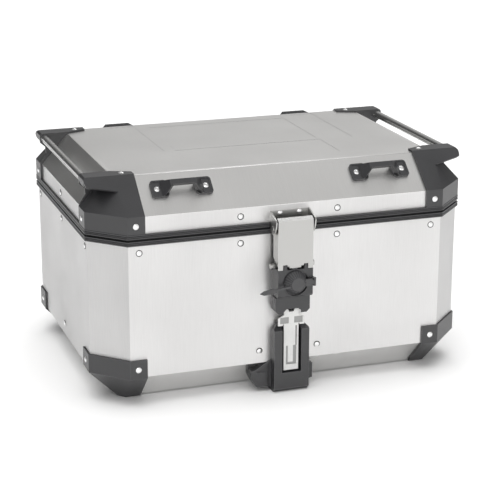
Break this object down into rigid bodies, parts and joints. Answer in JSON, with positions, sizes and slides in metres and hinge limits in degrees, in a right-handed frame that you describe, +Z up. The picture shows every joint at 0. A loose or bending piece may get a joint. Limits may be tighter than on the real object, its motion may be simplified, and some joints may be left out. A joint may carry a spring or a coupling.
{
  "type": "motorcycle top case",
  "caption": "Riveted aluminium luggage box for a rear rack, with moulded corners, a rear-hinged lid, a key-locked front latch, grab rails and tie loops.",
  "frame": {"origin": "on the ground plane, in the middle of the base plate's underside", "axes": "+X to the case's right, +Y towards the hinges, +Z up; the latch faces -Y"},
  "size_m": [0.5914, 0.479, 0.3382],
  "materials": {
    "satin_aluminium": "fine satin grain, clear anodised",
    "rail_aluminium": "extruded, satin",
    "rivet_aluminium": "bright, lightly domed",
    "stainless_steel": "bead blasted",
    "zinc_steel": "zinc plated",
    "moulded_black": "fine moulded grain",
    "slider_plastic": "smooth satin",
    "black_rubber": "matt rubber",
    "lock_metal": "satin chrome"
  },
  "bodies": {
    "case": {"base_corner_front_left": "moulded_black", "base_corner_front_right": "moulded_black", "base_corner_rear_left": "moulded_black", "base_corner_rear_right": "moulded_black", "base_corner_rivets": "rivet_aluminium", "base_plate": "moulded_black", "base_plate_screws": "zinc_steel", "body_rim": "moulded_black", "body_wall": "satin_aluminium", "dust_cap_anchor": "moulded_black", "floor_mat": "black_rubber", "floor_pan": "satin_aluminium", "foot_wedge": "moulded_black", "hinge_leaf_body_left": "zinc_steel", "hinge_leaf_body_right": "zinc_steel", "hinge_pin_left": "zinc_steel", "hinge_pin_right": "zinc_steel", "hinge_rivets_body": "rivet_aluminium", "key_bezel": "lock_metal", "latch_cross_pin": "stainless_steel", "lock_back_plate": "zinc_steel", "lock_block_lower": "moulded_black", "lock_block_upper": "moulded_black", "lock_foot": "moulded_black", "lock_screws": "zinc_steel", "pan_rivets": "rivet_aluminium", "slider_spring": "zinc_steel", "wall_rivets": "rivet_aluminium"},
    "lid": {"grab_rail_left": "rail_aluminium", "grab_rail_right": "rail_aluminium", "lid_corner_front_left": "moulded_black", "lid_corner_front_right": "moulded_black", "lid_corner_rear_left": "moulded_black", "lid_corner_rear_right": "moulded_black", "lid_corner_rivets": "rivet_aluminium", "lid_rim": "moulded_black", "lid_rivets": "rivet_aluminium", "lid_seal": "black_rubber", "lid_shell": "satin_aluminium", "tie_loop_front_left": "moulded_black", "tie_loop_front_right": "moulded_black", "tie_loop_rear_left": "moulded_black", "tie_loop_rear_right": "moulded_black", "tie_loop_rivets": "rivet_aluminium", "rail_screws": "zinc_steel", "latch_bracket": "stainless_steel", "latch_bracket_rivets": "rivet_aluminium", "latch_pin": "stainless_steel", "hinge_leaf_lid_left": "zinc_steel", "hinge_leaf_lid_right": "zinc_steel", "hinge_rivets_lid": "rivet_aluminium"},
    "latch_arm": {"latch_arm": "stainless_steel", "arm_striker": "stainless_steel"},
    "dust_cap": {"dust_cap": "black_rubber"},
    "key_barrel": {"key_barrel": "lock_metal"},
    "lock_pawl": {"lock_pawl": "zinc_steel"},
    "release_slider": {"release_slider": "slider_plastic"}
  },
  "joints": [
    {"name": "lid_hinge", "type": "hinge", "parent": "case", "child": "lid", "pos_m": [0, 0.222, 0.254], "axis": [-1, 0, 0], "range_deg": [0, 95]},
    {"name": "latch_arm_pivot", "type": "hinge", "parent": "lid", "child": "latch_arm", "pos_m": [0, -0.228, 0.2565], "axis": [-1, 0, 0], "range_deg": [0, 60]},
    {"name": "dust_cap_swing", "type": "hinge", "parent": "case", "child": "dust_cap", "pos_m": [0.028, -0.243, 0.175], "axis": [0, 0, 1], "range_deg": [0, 110]},
    {"name": "key_turn", "type": "hinge", "parent": "case", "child": "key_barrel", "pos_m": [0, -0.23, 0.175], "axis": [0, -1, 0], "range_deg": [0, 90]},
    {"name": "pawl_lift", "type": "slide", "parent": "case", "child": "lock_pawl", "axis": [0, 0, 1], "range_m": [0, 0.004]},
    {"name": "slider_lift", "type": "slide", "parent": "case", "child": "release_slider", "axis": [0, 0, 1], "range_m": [0, 0.008], "stiffness_N_per_m": 200, "springref_m": -0.004, "deforming": ["slider_spring"]}
  ],
  "couplings": [
    {"joint": "pawl_lift", "follows": "key_turn", "m_per_rad": 0.002546}
  ]
}
